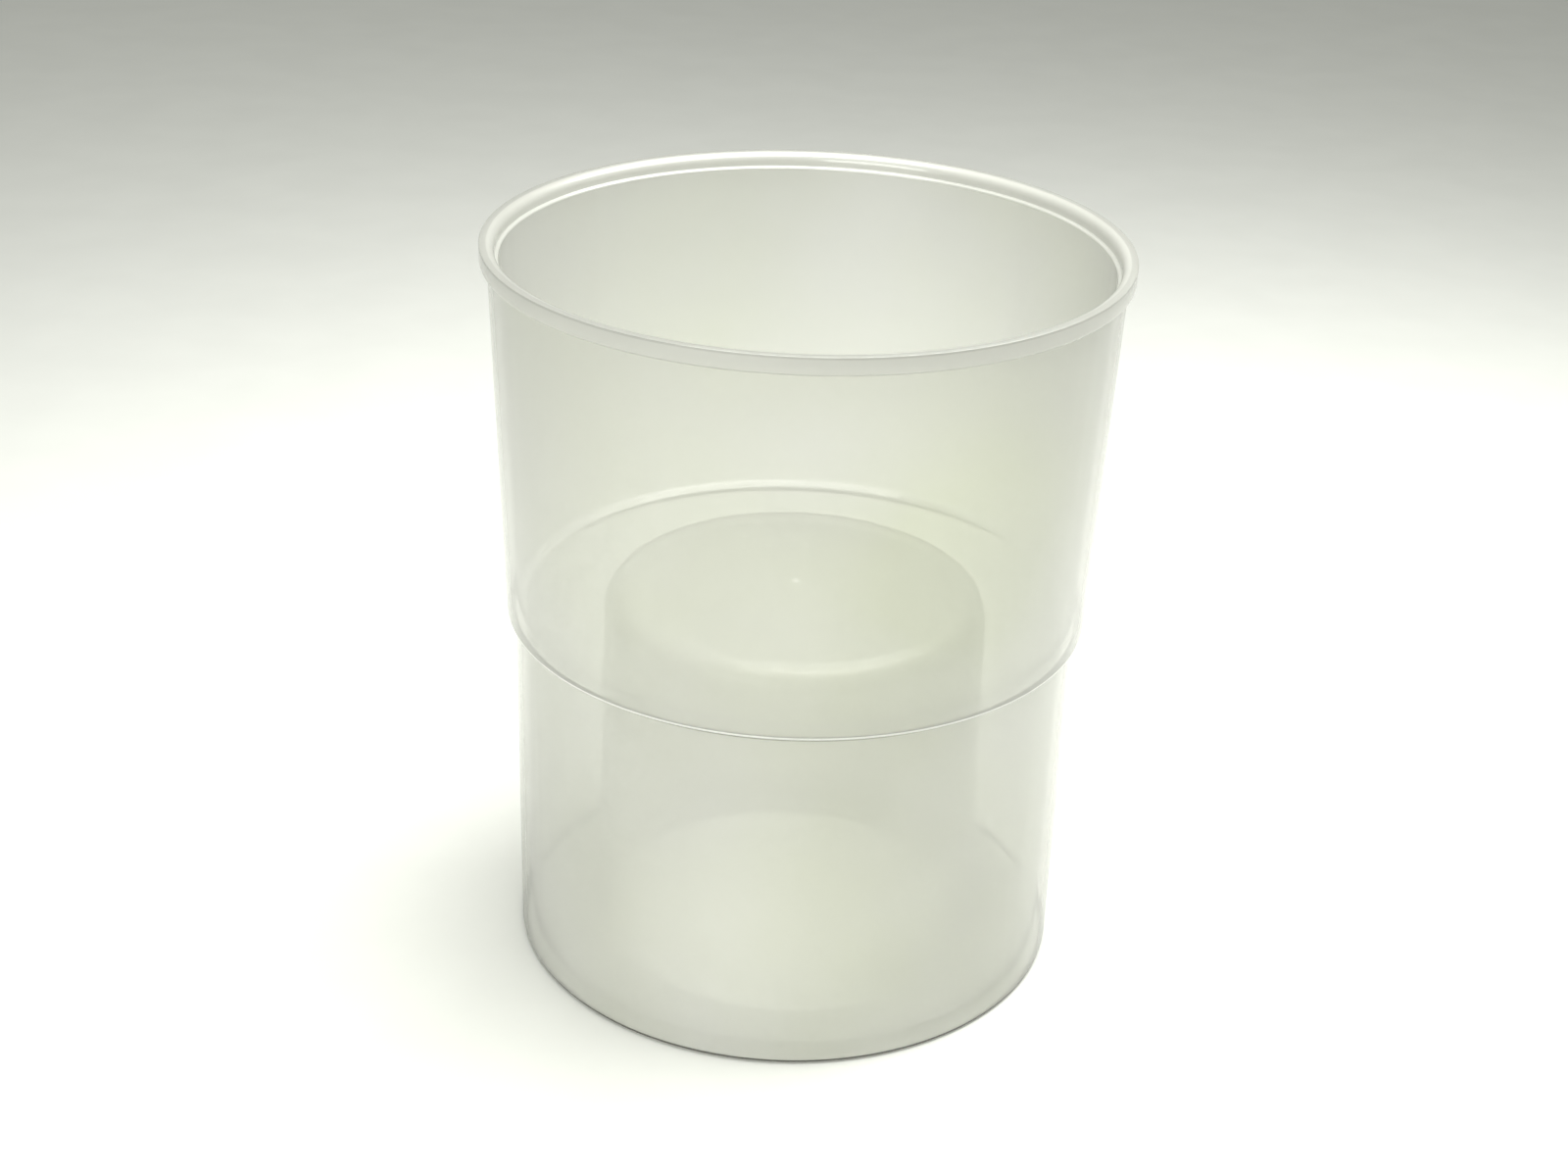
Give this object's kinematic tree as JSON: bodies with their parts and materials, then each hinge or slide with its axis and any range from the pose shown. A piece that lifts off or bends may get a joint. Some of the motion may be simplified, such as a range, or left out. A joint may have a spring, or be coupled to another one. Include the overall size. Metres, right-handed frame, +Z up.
{
  "type": "fuel sampler cup",
  "caption": "Open translucent cup with a beaded rim, an outward step part way up its wall and a hollow pedestal rising from its floor.",
  "frame": {"origin": "centre of the face the cup stands on", "axes": "+Z up along the cup's axis of revolution; the cup looks the same whichever way X and Y point"},
  "size_m": [0.0706, 0.0706, 0.085],
  "materials": {
    "natural_polypropylene": "smooth moulded natural polypropylene, milky and see-through, satin gloss"
  },
  "bodies": {
    "root": {"rim_bead": "natural_polypropylene", "upper_wall": "natural_polypropylene", "step_ring": "natural_polypropylene", "lower_wall": "natural_polypropylene", "floor_ring": "natural_polypropylene", "pedestal_wall": "natural_polypropylene", "pedestal_top": "natural_polypropylene", "gate_vestige": "natural_polypropylene"}
  },
  "joints": []
}
